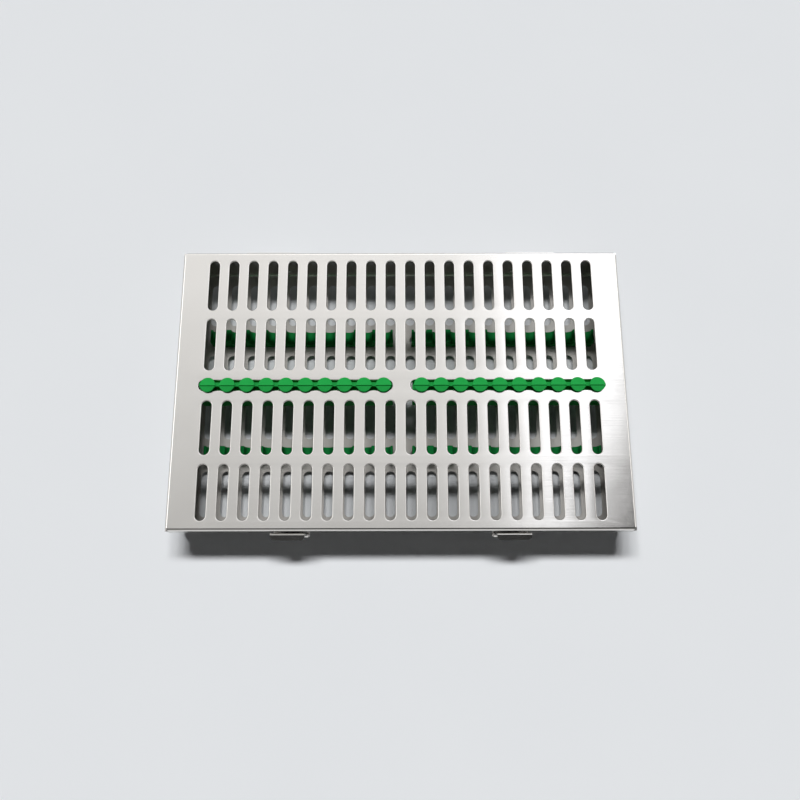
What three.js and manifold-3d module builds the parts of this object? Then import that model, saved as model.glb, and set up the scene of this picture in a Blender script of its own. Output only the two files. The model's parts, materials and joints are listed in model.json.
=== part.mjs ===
// Dental instrument cassette for twenty instruments: a slotted tray and a slotted lid of folded
// steel sheet, silicone strips snapped through both, two hinges behind and two latches in front.
// Millimetres. +X is right, -Y is the front with the latches and +Z is up. The origin lies on the
// table under the middle of the closed case, and every piece is built in the closed position.

import * as THREE from "three";
import { mergeVertices } from "three/addons/utils/BufferGeometryUtils.js";
import Module from "manifold-3d";

const wasm = await Module();
wasm.setup();

// Case
const caseWidth = 283;
const caseDepth = 180;
const sheet = 1;
const floorToLidTop = 30; // inside face of the floor to outside face of the lid
const lidBend = 2; // outside radius where the lid's skirt folds down
const trayBend = 3.2; // outside radius where the tray's walls fold up
const sideClearance = 0.6; // lid skirt to tray wall, left and right
const endClearance = 1.2; // lid skirt to tray wall, front and back
const reliefMargin = 0.2; // square nick at a corner, past the two folds that it frees
const seamWidth = 0.5; // open seam between two folded walls
const seatGap = 0.3; // between pieces that touch
const cutOverrun = 1; // how far a cut runs past the faces it opens

// Slots in the lid, in two rows on each side of the middle band
const slotWidth = 6.2;
const lidSlotPitch = 12.7;
const lidSideMargin = 14; // outside of the case to the field of slots
const lidEndMargin = 6.25;
const lidBandWidth = 19.9; // plain middle band that carries the two strips
const lidRowWeb = 6.1; // plain web between two rows

// Slots in the tray's floor, in a long middle row and a short row behind and before it
const traySlotPitch = 13.25;
const traySideMargin = 6;
const trayEndMargin = 8.7;
const trayMiddleSlot = 57;
const trayBandWidth = 21.4; // plain band that carries a pair of strips

// Silicone strips
const stripSlotWidth = 6.4;
const stripEndMargin = 14.6; // outside of the case to a strip's slot
const bridgeWidth = 11.6; // plain steel between the left and the right strip's slot
const stripSlotShift = 0.5; // strip slots to the right of the case's middle
const leftStripShift = 0.3; // each left strip to the right of the middle of its slot
const rightStripShift = 1.1; // each right strip likewise
const headPitch = 12.2; // one head and one instrument place
const headRadius = 4.6;
const headHeight = 2.6; // crown above the sheet
const headFall = 0.9; // fall from the crown to the rim of a head
const crownFlat = 3.2; // flat strip along the crown
const railWidth = 4.2; // rail that runs through the slot and joins the heads
const webWaist = 2; // the rail's width halfway between two heads
const webRise = 1; // crest of the rail between heads, above the sheet
const webFall = 0.6; // fall from that crest to the rail's sides
const padWidth = 19.2; // pad that hangs under the lid
const padDepth = 15.7;
const padFlange = 3.4;
const padLeg = 3.6;
const combWidth = 9; // comb that stands on the floor
const combHeight = 10.3;
const notchRadius = 4;
const notchDepth = 6.3;

// Hinges, latches and their rivets
const hardwareSheet = 0.9;
const reach = 5.2; // how far knuckles and latch lips stand out from the lid
const knuckleRadius = 2.2;
const pinRadius = 1;
const pinHeadRadius = 1.7;
const pinHeadHeight = 0.7;
const runGap = 0.4; // between parts that turn past each other
const hingeWidth = 32;
const hingeInset = 56.5; // side of the case to the middle of a hinge
const middleKnuckleShare = 0.4; // share of the hinge's width
const openRestGap = 0.3; // between the opened lid's heads and the table
const leafMargin = 1; // leaf edge to the fold above it
const rivetShank = 1.1;
const rivetHead = 2.1;
const rivetHeadHeight = 0.7;
const rivetTail = 1.8;
const rivetTailHeight = 0.5;
const leafRivetInset = 7; // side of a hinge leaf to its rivet

const latchInset = 73; // side of the case to the middle of a latch
const latchWidth = 21;
const latchSheet = 0.8;
const latchGap = 0.9; // lid skirt to latch plate
const latchPivotRise = 6; // pin above the underside of the floor
const latchDrop = 7; // start of the lip's bend below the lid's top
const lipBend = 2;
const lipDroopAngle = Math.PI / 9;
const lipCorner = 2.8;
const beadLength = 9;
const beadHeight = 2.6;
const beadProud = 0.6;
const beadRise = 3.3; // bead above the skirt's edge
const windowGap = 0.5; // bead to the edge of its window, all round
const bracketRivetInset = 4.2; // side of the bracket to its rivet

// Facets
const slotSteps = 3; // in a half turn
const stripSlotSteps = 4;
const bendSteps = 4; // in a quarter turn
const notchSteps = 4; // in a half turn
const headSides = 8;
const knuckleSides = 12;
const pinSides = 8; // of a pin and its bore
const rivetSides = 6;

// Levels and faces that follow from the sizes above
const floorLow = headHeight;
const floorTop = floorLow + sheet;
const lidTop = floorTop + floorToLidTop;
const hingeAxisY = caseDepth / 2 + reach - knuckleRadius;
const hingeAxisZ = (lidTop + headHeight) / 2 + openRestGap;
const skirtLow = hingeAxisZ + knuckleRadius;
const wallTop = lidTop - sheet - seatGap;
const trayWidth = caseWidth - 2 * (sheet + sideClearance);
const trayDepth = caseDepth - 2 * (sheet + endClearance);
const boreRadius = pinRadius + seatGap;
const rivetHole = rivetShank + seatGap;
const rivetGrip = hardwareSheet + seatGap + sheet;
const hingeSpacing = caseWidth - 2 * hingeInset;
const latchSpacing = caseWidth - 2 * latchInset;
const stripSlotLength = caseWidth / 2 - stripEndMargin - bridgeWidth / 2;
const stripSlotX = (bridgeWidth + stripSlotLength) / 2;
const trayStripY = (trayMiddleSlot + trayBandWidth) / 2;
const latchPlateY = -(caseDepth / 2 + latchGap + latchSheet / 2);
const latchPivotY = -(trayDepth / 2 + seatGap + knuckleRadius);
const latchPivotZ = floorLow + latchPivotRise;
const beadZ = skirtLow + beadRise;

const steel = new THREE.MeshStandardMaterial({ color: 0xd9d5d0, roughness: 0.34, metalness: 1 });
const pinSteel = new THREE.MeshStandardMaterial({ color: 0xc4c2c0, roughness: 0.28, metalness: 1 });
const silicone = new THREE.MeshStandardMaterial({ color: 0x1f9c45, roughness: 0.55, metalness: 0 });

// A closed geometry as a solid that can be joined and cut.
function solid(geometry) {
  const bare = geometry.clone();
  bare.deleteAttribute("normal");
  bare.deleteAttribute("uv");
  const merged = mergeVertices(bare);
  const mesh = new wasm.Mesh({
    numProp: 3,
    vertProperties: merged.attributes.position.array,
    triVerts: new Uint32Array(merged.index.array),
  });
  return new wasm.Manifold(mesh);
}

function join(geometries) {
  return geometries.map(solid).reduce((whole, next) => whole.add(next));
}

function piece(name, body, finish) {
  const { vertProperties, triVerts } = body.getMesh();
  const geometry = new THREE.BufferGeometry();
  geometry.setAttribute("position", new THREE.BufferAttribute(vertProperties, 3));
  geometry.setIndex(new THREE.BufferAttribute(triVerts, 1));
  geometry.computeVertexNormals();
  const mesh = new THREE.Mesh(geometry, finish);
  mesh.name = name;
  return mesh;
}

// Outlines in X and Y, extruded upwards.
function prism(shapes, low, high) {
  const settings = { depth: high - low, bevelEnabled: false };
  return new THREE.ExtrudeGeometry(shapes, settings).translate(0, 0, low);
}

// Outlines in Y and Z, extruded to the right.
function alongX(shapes, left, right) {
  return prism(shapes, left, right).rotateX(Math.PI / 2).rotateZ(Math.PI / 2);
}

// Outlines in X and Z, extruded backwards.
function alongY(shapes, front, back) {
  return prism(shapes, -back, -front).rotateX(Math.PI / 2);
}

function box([left, right], [front, back], [low, high]) {
  const block = new THREE.BoxGeometry(right - left, back - front, high - low);
  return block.translate((left + right) / 2, (front + back) / 2, (low + high) / 2);
}

function rod(radius, [left, right], y, z, sides) {
  const bar = new THREE.CylinderGeometry(radius, radius, right - left, sides);
  return bar.rotateZ(Math.PI / 2).translate((left + right) / 2, y, z);
}

function arc(x, y, radius, from, to, steps) {
  return Array.from({ length: steps + 1 }, (unused, i) => {
    const angle = from + ((to - from) * i) / steps;
    return new THREE.Vector2(x + radius * Math.cos(angle), y + radius * Math.sin(angle));
  });
}

function points(pairs) {
  return pairs.map(([x, y]) => new THREE.Vector2(x, y));
}

// A slot with round ends, long in X or in Y.
function slotShape(x, y, width, depth, steps = slotSteps) {
  const radius = Math.min(width, depth) / 2;
  const runX = width / 2 - radius;
  const runY = depth / 2 - radius;
  const start = width > depth ? -Math.PI / 2 : 0;
  return new THREE.Shape([
    ...arc(x + runX, y + runY, radius, start, start + Math.PI, steps),
    ...arc(x - runX, y - runY, radius, start + Math.PI, start + 2 * Math.PI, steps),
  ]);
}

function centred(count, pitch) {
  return Array.from({ length: count }, (unused, i) => (i - (count - 1) / 2) * pitch);
}

// An even number of columns, as many as the span holds.
function columns(span, pitch) {
  return centred(2 * Math.floor(span / pitch / 2), pitch);
}

// The section of a folded sheet: square at its open side, with a bend at each corner of the other.
function foldSection(half, closed, open, bend) {
  const side = Math.sign(closed - open);
  const corner = (hand, from, to) =>
    arc(hand * (half - bend), -bend, bend, from, to, bendSteps).map(
      (p) => new THREE.Vector2(p.x, closed + side * p.y),
    );
  return new THREE.Shape([
    ...points([[-half, open]]),
    ...corner(-1, Math.PI, Math.PI / 2),
    ...corner(1, Math.PI / 2, 0),
    ...points([[half, open]]),
  ]);
}

function foldedBlock(width, depth, closed, open, bend) {
  const across = alongX(foldSection(depth / 2, closed, open, bend), -width / 2, width / 2);
  const through = alongY(foldSection(width / 2, closed, open, bend), -depth / 2, depth / 2);
  return solid(across).intersect(solid(through));
}

// A sheet folded down or up on four sides, with nicked corners and open corner seams.
function foldedPan(width, depth, closed, open, bend) {
  const relief = bend + reliefMargin;
  const side = Math.sign(closed - open);
  const outer = foldedBlock(width, depth, closed, open, bend);
  const inner = foldedBlock(
    width - 2 * sheet,
    depth - 2 * sheet,
    closed - side * sheet,
    open - side * cutOverrun,
    bend - sheet,
  );
  const cuts = [-1, 1].flatMap((handX) =>
    [-1, 1].flatMap((handY) => cornerCuts(handX, handY, width, depth, closed, open, relief)),
  );
  return outer.subtract(inner).subtract(join(cuts));
}

function cornerCuts(handX, handY, width, depth, closed, open, relief) {
  const side = Math.sign(closed - open);
  const span = (hand, from, to) => [hand * from, hand * to].sort((a, b) => a - b);
  const nick = box(
    span(handX, width / 2 - relief, width / 2 + cutOverrun),
    span(handY, depth / 2 - relief, depth / 2 + cutOverrun),
    span(side, side * closed - relief, side * closed + cutOverrun),
  );
  const seam = box(
    span(handX, width / 2 - sheet - seamWidth, width / 2 - sheet),
    span(handY, depth / 2 - relief, depth / 2 + cutOverrun),
    span(side, side * open - cutOverrun, side * closed - relief),
  );
  return [nick, seam];
}

// One round hole for each rivet, from front to back.
function rivetHoles(places, y) {
  return places.map(([x, z]) =>
    new THREE.CylinderGeometry(rivetHole, rivetHole, 2 * rivetGrip, rivetSides).translate(x, y, z),
  );
}

const leafLow = hingeAxisZ + knuckleRadius + runGap;
const leafRivetX = centred(2, hingeWidth - 2 * leafRivetInset);
const lidLeafRivets = leafRivetX.map((x) => [
  x,
  (leafLow + lidTop - lidBend - leafMargin) / 2,
]);
const trayLeafTop = hingeAxisZ - knuckleRadius - runGap;
const trayLeafLow = floorLow + trayBend + leafMargin;
const crankRise = reach - knuckleRadius * 2 + endClearance + sheet;
const crankLow = trayLeafTop - crankRise;
const trayLeafRivets = leafRivetX.map((x) => [x, (trayLeafLow + crankLow) / 2]);
const bracketTop = skirtLow - leafMargin;
const bracketRivets = centred(2, latchWidth - 2 * bracketRivetInset).map((x) => [
  x,
  (latchPivotZ + knuckleRadius + bracketTop) / 2,
]);

function shifted(places, x) {
  return places.map(([px, z]) => [px + x, z]);
}

// Lid
function lidPanel() {
  const rowLength = (caseDepth / 2 - lidEndMargin - lidBandWidth / 2 - lidRowWeb) / 2;
  const rowY = [
    lidBandWidth / 2 + rowLength / 2,
    lidBandWidth / 2 + rowLength + lidRowWeb + rowLength / 2,
  ];
  const slots = columns(caseWidth - 2 * lidSideMargin, lidSlotPitch).flatMap((x) =>
    rowY.flatMap((y) => [
      slotShape(x, y, slotWidth, rowLength),
      slotShape(x, -y, slotWidth, rowLength),
    ]),
  );
  slots.push(...stripSlots(0));
  const windows = centred(2, latchSpacing).map((x) =>
    box(
      [x - beadLength / 2 - windowGap, x + beadLength / 2 + windowGap],
      [-caseDepth / 2 - cutOverrun, -caseDepth / 2 + sheet + endClearance / 2],
      [beadZ - beadHeight / 2 - windowGap, beadZ + beadHeight / 2 + windowGap],
    ),
  );
  const holes = centred(2, hingeSpacing).flatMap((x) =>
    rivetHoles(shifted(lidLeafRivets, x), caseDepth / 2),
  );
  return foldedPan(caseWidth, caseDepth, lidTop, skirtLow, lidBend)
    .subtract(solid(prism(slots, lidTop - sheet - cutOverrun, lidTop + cutOverrun)))
    .subtract(join([...windows, ...holes]));
}

function stripSlots(y) {
  return [-1, 1].map((hand) =>
    slotShape(hand * stripSlotX + stripSlotShift, y, stripSlotLength, stripSlotWidth, stripSlotSteps),
  );
}

// Tray
function baseTray() {
  const shortRow = trayDepth / 2 - trayEndMargin - trayMiddleSlot / 2 - trayBandWidth;
  const shortRowY = trayDepth / 2 - trayEndMargin - shortRow / 2;
  const slots = columns(trayWidth - 2 * traySideMargin, traySlotPitch).flatMap((x) => [
    slotShape(x, 0, slotWidth, trayMiddleSlot),
    slotShape(x, shortRowY, slotWidth, shortRow),
    slotShape(x, -shortRowY, slotWidth, shortRow),
  ]);
  slots.push(...stripSlots(trayStripY), ...stripSlots(-trayStripY));
  const backHoles = centred(2, hingeSpacing).flatMap((x) =>
    rivetHoles(shifted(trayLeafRivets, x), trayDepth / 2),
  );
  const frontHoles = centred(2, latchSpacing).flatMap((x) =>
    rivetHoles(shifted(bracketRivets, x), -trayDepth / 2),
  );
  return foldedPan(trayWidth, trayDepth, floorLow, wallTop, trayBend)
    .subtract(solid(prism(slots, floorLow - cutOverrun, floorTop + cutOverrun)))
    .subtract(join([...backHoles, ...frontHoles]));
}

// Silicone strips, built with the sheet's outer face at zero and the heads above it. The rail is
// short enough for the slot in which its strip sits furthest from the middle.
const padLength = stripSlotLength;
const railHalf = stripSlotLength / 2 - Math.max(leftStripShift, rightStripShift) - seatGap;
const headCount = 1 + Math.floor((stripSlotLength - 2 * headRadius) / headPitch);
const headPlaces = centred(headCount, headPitch);
const bodyTop = -sheet - seatGap;

// A bar in Y and Z whose top slopes to both sides from a flat or sharp crown.
function roof(halfWidth, flat, low, crown, slope) {
  const crest = flat ? [[flat / 2, crown], [-flat / 2, crown]] : [[0, crown]];
  return new THREE.Shape(
    points([
      [-halfWidth, low],
      [halfWidth, low],
      [halfWidth, crown - slope],
      ...crest,
      [-halfWidth, crown - slope],
    ]),
  );
}

function snapRail() {
  const discs = headPlaces.map((x) =>
    new THREE.CylinderGeometry(headRadius, headRadius, headHeight - seatGap, headSides)
      .rotateX(Math.PI / 2)
      .translate(x, 0, (headHeight + seatGap) / 2),
  );
  const crown = alongX(
    roof(headRadius, crownFlat, 0, headHeight, headFall),
    -stripSlotLength / 2,
    stripSlotLength / 2,
  );
  const heads = join(discs).intersect(solid(crown));
  const tip = railWidth / 2;
  const webs = headPlaces.slice(1).flatMap((x) => [
    [x - headPitch / 2, webWaist / 2],
    [x, tip],
  ]);
  const side = [[tip - railHalf, tip], [headPlaces[0], tip], ...webs, [railHalf - tip, tip]];
  const plan = new THREE.Shape([
    ...points([[-railHalf, 0]]),
    ...points(side.map(([x, y]) => [x, -y])),
    ...points([[railHalf, 0]]),
    ...points(side).reverse(),
  ]);
  const low = bodyTop - padFlange / 2;
  const crest = alongX(roof(tip, 0, low, webRise, webFall), -railHalf, railHalf);
  const rail = solid(prism(plan, low, headHeight)).intersect(solid(crest));
  return heads.add(rail);
}

function padBody() {
  const half = padWidth / 2;
  const foot = -sheet - padDepth;
  const section = new THREE.Shape(
    points([
      [-half, foot],
      [padLeg - half, foot],
      [padLeg - half, bodyTop - padFlange],
      [half - padLeg, bodyTop - padFlange],
      [half - padLeg, foot],
      [half, foot],
      [half, bodyTop],
      [-half, bodyTop],
    ]),
  );
  return solid(alongX(section, -padLength / 2, padLength / 2));
}

function combBody() {
  const tip = -sheet - combHeight;
  const notchEnd = tip + notchDepth - notchRadius;
  const notches = headPlaces.flatMap((x) => [
    ...points([[x - notchRadius, tip]]),
    ...arc(x, notchEnd, notchRadius, Math.PI, 0, notchSteps),
    ...points([[x + notchRadius, tip]]),
  ]);
  const outline = new THREE.Shape([
    ...points([
      [-padLength / 2, bodyTop],
      [-padLength / 2, tip],
    ]),
    ...notches,
    ...points([
      [padLength / 2, tip],
      [padLength / 2, bodyTop],
    ]),
  ]);
  return solid(alongY(outline, -combWidth / 2, combWidth / 2));
}

// Hinge and latch parts, built with X measured from the middle of the hinge or latch
function knuckleSpans(width) {
  const half = (width * middleKnuckleShare) / 2;
  return {
    middle: [[-half, half]],
    outer: [
      [-width / 2, -half - seatGap],
      [half + seatGap, width / 2],
    ],
  };
}

// Rolled knuckles round an axis, with the necks that join them to a plate.
function knuckled(plate, spans, neckSection, y, z, rivets, wallY) {
  const rings = spans.map((span) => rod(knuckleRadius, span, y, z, knuckleSides));
  const necks = spans.map(([left, right]) => alongX(neckSection, left, right));
  const bores = spans.map(([left, right]) =>
    rod(boreRadius, [left - cutOverrun, right + cutOverrun], y, z, pinSides),
  );
  const body = plate.add(join([...rings, ...necks])).subtract(join(bores));
  return rivets.length ? body.subtract(join(rivetHoles(rivets, wallY))) : body;
}

// A line of [y, z] points as the section of a bent sheet.
function ribbon(line, thickness) {
  const path = points(line);
  const side = (hand) =>
    path.map((p, i) => {
      const before = path[Math.max(i - 1, 0)];
      const after = path[Math.min(i + 1, path.length - 1)];
      const into = p.clone().sub(before).normalize();
      const out = after.clone().sub(p).normalize();
      const mean = into.clone().add(out).normalize();
      const shorter = Math.max(mean.dot(into), mean.dot(out));
      const offset = (hand * thickness) / 2 / shorter;
      return new THREE.Vector2(p.x - mean.y * offset, p.y + mean.x * offset);
    });
  return new THREE.Shape([...side(1), ...side(-1).reverse()]);
}

function hingeLidLeaf() {
  const face = caseDepth / 2 + seatGap;
  const top = lidTop - lidBend - leafMargin;
  const plate = solid(
    box([-hingeWidth / 2, hingeWidth / 2], [face, face + hardwareSheet], [leafLow, top]),
  );
  const line = [
    [face + hardwareSheet / 2, hingeAxisZ],
    [face + hardwareSheet / 2, leafLow + hardwareSheet],
  ];
  return knuckled(
    plate,
    knuckleSpans(hingeWidth).middle,
    ribbon(line, hardwareSheet),
    hingeAxisY,
    hingeAxisZ,
    lidLeafRivets,
    face,
  );
}

// The tray's leaf is cranked outwards, because the tray's wall stands inside the lid's skirt.
function hingeBaseLeaf() {
  const wall = trayDepth / 2 + seatGap + hardwareSheet / 2;
  const out = caseDepth / 2 + seatGap + hardwareSheet / 2;
  const line = [
    [wall, trayLeafLow],
    [wall, crankLow],
    [out, trayLeafTop],
    [out, hingeAxisZ],
  ];
  const plate = solid(
    alongX(ribbon(line.slice(0, 3), hardwareSheet), -hingeWidth / 2, hingeWidth / 2),
  );
  return knuckled(
    plate,
    knuckleSpans(hingeWidth).outer,
    ribbon(line.slice(1), hardwareSheet),
    hingeAxisY,
    hingeAxisZ,
    trayLeafRivets,
    trayDepth / 2 + seatGap,
  );
}

function latchBracket() {
  const face = -trayDepth / 2 - seatGap;
  const plate = solid(
    box(
      [-latchWidth / 2, latchWidth / 2],
      [face - hardwareSheet, face],
      [latchPivotZ + knuckleRadius + runGap, bracketTop],
    ),
  );
  const line = [
    [face - hardwareSheet / 2, latchPivotZ],
    [face - hardwareSheet / 2, bracketTop],
  ];
  return knuckled(
    plate,
    knuckleSpans(latchWidth).outer,
    ribbon(line, hardwareSheet),
    latchPivotY,
    latchPivotZ,
    bracketRivets,
    face,
  );
}

// The latch plate stands before the lid's skirt and bends out into a finger lip. A pressed bead
// on its inside faces a window in the skirt.
function latchPlate() {
  const bendZ = lidTop - latchDrop;
  const turn = Math.PI / 2 + lipDroopAngle;
  const curve = arc(latchPlateY - lipBend, bendZ, lipBend, 0, turn, bendSteps);
  const last = curve[curve.length - 1];
  const line = [
    [latchPlateY, latchPivotZ + knuckleRadius + runGap],
    ...curve.map((p) => [p.x, p.y]),
    [last.x - reach, last.y - reach * Math.tan(lipDroopAngle)],
  ];
  const sheetBody = solid(alongX(ribbon(line, latchSheet), -latchWidth / 2, latchWidth / 2));
  const cornerX = latchWidth / 2 - lipCorner;
  const front = -caseDepth / 2 - reach;
  const plan = new THREE.Shape([
    ...arc(-cornerX, front + lipCorner, lipCorner, Math.PI, Math.PI * 1.5, bendSteps),
    ...arc(cornerX, front + lipCorner, lipCorner, Math.PI * 1.5, Math.PI * 2, bendSteps),
    ...points([
      [latchWidth / 2, -trayDepth / 2],
      [-latchWidth / 2, -trayDepth / 2],
    ]),
  ]);
  const plate = sheetBody.intersect(solid(prism(plan, floorLow, lidTop + headHeight)));
  const inner = latchPlateY + latchSheet / 2;
  const bead = new THREE.Shape(
    points([
      [latchPlateY, beadZ - beadHeight / 2],
      [inner, beadZ - beadHeight / 2],
      [inner + beadProud, beadZ - beadHeight / 4],
      [inner + beadProud, beadZ + beadHeight / 4],
      [inner, beadZ + beadHeight / 2],
      [latchPlateY, beadZ + beadHeight / 2],
    ]),
  );
  const neck = [
    [latchPlateY, latchPivotZ],
    [latchPlateY, latchPivotZ + 2 * knuckleRadius],
  ];
  return knuckled(
    plate.add(solid(alongX(bead, -beadLength / 2, beadLength / 2))),
    knuckleSpans(latchWidth).middle,
    ribbon(neck, latchSheet),
    latchPivotY,
    latchPivotZ,
    [],
    0,
  );
}

// A turned piece from its outline of [radius, height] points, which starts and ends on the axis.
function turned(outline, sides) {
  return solid(new THREE.LatheGeometry(points(outline), sides));
}

// Origin on the outer sheet's face under the formed head, with the head towards +Y.
function rivet() {
  const tail = -rivetGrip - seatGap;
  const dome = seatGap + rivetHeadHeight;
  const shoulder = (seatGap + dome) / 2;
  return turned(
    [
      [0, tail - rivetTailHeight],
      [rivetTail, tail - rivetTailHeight],
      [rivetTail, tail],
      [rivetShank, tail],
      [rivetShank, seatGap],
      [rivetHead, seatGap],
      [(rivetHead + rivetShank) / 2, shoulder + rivetHeadHeight / 4],
      [0, dome],
    ],
    rivetSides,
  );
}

// A pin with an upset head at each end, lying along Y before it is turned into place.
function pin(width) {
  const half = width / 2 + seatGap;
  const end = half + pinHeadHeight;
  return turned(
    [
      [0, -end],
      [pinHeadRadius, -end],
      [pinHeadRadius, -half],
      [pinRadius, -half],
      [pinRadius, half],
      [pinHeadRadius, half],
      [pinHeadRadius, end],
      [0, end],
    ],
    pinSides,
  );
}

const cassette = new THREE.Group();
cassette.name = "dental_instrument_cassette";
const sides = [
  { name: "left", hand: -1, stripShift: leftStripShift },
  { name: "right", hand: 1, stripShift: rightStripShift },
];

function addStrip(name, body, x, y, z, turn) {
  const strip = piece(name, body, silicone);
  strip.position.set(x, y, z);
  strip.rotation.x = turn;
  cassette.add(strip);
}

function addStrips() {
  const lidStrip = snapRail().add(padBody());
  const baseStrip = snapRail().add(combBody());
  for (const { name, hand, stripShift } of sides) {
    const x = hand * stripSlotX + stripSlotShift + stripShift;
    addStrip("lid_strip_" + name, lidStrip, x, 0, lidTop, 0);
    addStrip("base_strip_front_" + name, baseStrip, x, -trayStripY, floorLow, Math.PI);
    addStrip("base_strip_back_" + name, baseStrip, x, trayStripY, floorLow, Math.PI);
  }
}

// Rivets of one leaf or bracket. A turn of half a circle points their heads to the front.
function addRivets(group, name, places, y, turn) {
  places.forEach(([x, z], i) => {
    const mesh = piece(name + "_" + (i + 1), rivet(), pinSteel);
    mesh.position.set(x, y, z);
    mesh.rotation.z = turn;
    group.add(mesh);
  });
}

function addPin(group, name, width, y, z) {
  const mesh = piece(name, pin(width), pinSteel);
  mesh.position.set(0, y, z);
  mesh.rotation.z = Math.PI / 2;
  group.add(mesh);
}

function addHinge({ name, hand }) {
  const hinge = new THREE.Group();
  hinge.position.x = (hand * hingeSpacing) / 2;
  hinge.add(piece("hinge_lid_leaf_" + name, hingeLidLeaf(), steel));
  hinge.add(piece("hinge_base_leaf_" + name, hingeBaseLeaf(), steel));
  addPin(hinge, "hinge_pin_" + name, hingeWidth, hingeAxisY, hingeAxisZ);
  const lidLeafFace = caseDepth / 2 + seatGap + hardwareSheet;
  const baseLeafFace = trayDepth / 2 + seatGap + hardwareSheet;
  addRivets(hinge, "hinge_lid_rivet_" + name, lidLeafRivets, lidLeafFace, 0);
  addRivets(hinge, "hinge_base_rivet_" + name, trayLeafRivets, baseLeafFace, 0);
  cassette.add(hinge);
}

function addLatch({ name, hand }) {
  const latch = new THREE.Group();
  latch.position.x = (hand * latchSpacing) / 2;
  latch.add(piece("latch_" + name, latchPlate(), steel));
  latch.add(piece("latch_bracket_" + name, latchBracket(), steel));
  addPin(latch, "latch_pin_" + name, latchWidth, latchPivotY, latchPivotZ);
  const bracketFace = -trayDepth / 2 - seatGap - hardwareSheet;
  addRivets(latch, "latch_rivet_" + name, bracketRivets, bracketFace, Math.PI);
  cassette.add(latch);
}

cassette.add(piece("base_tray", baseTray(), steel));
cassette.add(piece("lid_panel", lidPanel(), steel));
addStrips();
sides.forEach(addHinge);
sides.forEach(addLatch);

export default cassette;
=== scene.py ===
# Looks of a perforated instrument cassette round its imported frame. Metres, in the frame's axes:
# +X is right, -Y is the front with the latches and +Z is up.
import json
import math

import bmesh
import bpy
from mathutils import Matrix, Vector
from mathutils.geometry import tessellate_polygon

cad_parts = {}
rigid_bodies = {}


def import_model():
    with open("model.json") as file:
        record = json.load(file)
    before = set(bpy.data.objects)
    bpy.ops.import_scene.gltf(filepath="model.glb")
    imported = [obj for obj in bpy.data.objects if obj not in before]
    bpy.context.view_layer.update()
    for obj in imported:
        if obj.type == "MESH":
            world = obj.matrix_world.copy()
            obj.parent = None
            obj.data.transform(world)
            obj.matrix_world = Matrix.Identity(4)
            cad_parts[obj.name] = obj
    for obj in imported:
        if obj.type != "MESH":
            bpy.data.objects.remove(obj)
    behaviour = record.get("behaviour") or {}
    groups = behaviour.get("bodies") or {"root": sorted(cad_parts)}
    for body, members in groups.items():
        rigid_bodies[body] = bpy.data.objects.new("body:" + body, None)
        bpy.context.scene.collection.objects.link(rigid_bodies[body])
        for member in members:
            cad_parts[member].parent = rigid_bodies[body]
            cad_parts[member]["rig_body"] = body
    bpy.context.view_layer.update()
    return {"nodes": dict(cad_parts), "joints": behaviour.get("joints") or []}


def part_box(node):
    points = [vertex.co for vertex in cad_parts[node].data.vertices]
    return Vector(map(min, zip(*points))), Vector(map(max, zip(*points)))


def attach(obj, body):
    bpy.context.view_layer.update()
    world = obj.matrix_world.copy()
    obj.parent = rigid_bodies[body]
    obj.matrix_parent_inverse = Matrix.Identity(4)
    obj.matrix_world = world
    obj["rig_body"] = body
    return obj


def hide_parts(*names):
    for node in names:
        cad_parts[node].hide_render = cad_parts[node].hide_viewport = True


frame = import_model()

MM = 0.001

# Camera, fitted to the photograph's 800 pixels
IMAGE_PX = 800
FOCAL_PX = 749.55
SENSOR_MM = 36
CAMERA_PLACE = Vector((-0.8, -121.7, 486.4)) * MM
CAMERA_TILT = math.radians(13.9)
CAMERA_PAN = math.radians(-0.05)
CAMERA_ROLL = math.radians(-0.13)

# Sheets
SHEET = 1 * MM
LID_BEND = 1.7 * MM
TRAY_BEND = 3.2 * MM
RELIEF_MARGIN = 0.2 * MM
SEAM = 0.5 * MM
EDGE_ROUND = 0.15 * MM
PUNCHED_RIM = 0.62 * MM
BACK_RIM = 0.15 * MM
SLOT_WIDTH = 6.2 * MM
LID_SLOT_PITCH = 12.7 * MM
LID_SIDE_MARGIN = 14 * MM
LID_END_MARGIN = 6.25 * MM
LID_BAND = 19.9 * MM
LID_ROW_WEB = 6.1 * MM
TRAY_SLOT_PITCH = 13.25 * MM
TRAY_SIDE_MARGIN = 6 * MM
TRAY_END_MARGIN = 8.7 * MM
TRAY_MIDDLE_SLOT = 57 * MM
TRAY_BAND = 21.4 * MM
STRIP_SLOT_WIDTH = 6.4 * MM
STRIP_END_MARGIN = 14.6 * MM
BRIDGE = 11.6 * MM
STRIP_SLOT_SHIFT = 0.5 * MM

# Silicone strips. HEAD_NECK is the width of a head's foot over that of its top.
HEAD_COUNT = 10
HEAD_PITCH = 12.2 * MM
HEAD_RADIUS = 4.75 * MM
HEAD_HEIGHT = 2.6 * MM
HEAD_FALL = 1.1 * MM
HEAD_ROUND = 0.3 * MM
HEAD_FOOT = 0.05 * MM
HEAD_NECK = 0.87
HEAD_TIP = 5.15 * MM
HEAD_STEPS = 24
HEAD_ROWS = 12
PARTING_DEPTH = 0.85 * MM
PARTING_WIDTH = 0.5 * MM
PARTING_SHIFT = -0.9 * MM
WEB_WAIST = 2.3 * MM
WEB_SHOULDER = 4.6 * MM
WEB_CREST = 0.3 * MM
WEB_TILT = 0.3 * MM
WEB_SHIFT = 0.5 * MM
WEB_FLARE = 0.8 * MM
WEB_COLUMNS = 12
WEB_ROWS = 8
PAD_WIDTH = 19.2 * MM
PAD_DEPTH = 15.7 * MM
PAD_FLANGE = 3.4 * MM
PAD_LEG = 3.6 * MM
PAD_CHANNEL = 2.4 * MM
PAD_STEPS = 8
COMB_WIDTH = 9 * MM
COMB_HEIGHT = 10.3 * MM
NOTCH_RADIUS = 4 * MM
NOTCH_DEPTH = 6.3 * MM
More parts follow.
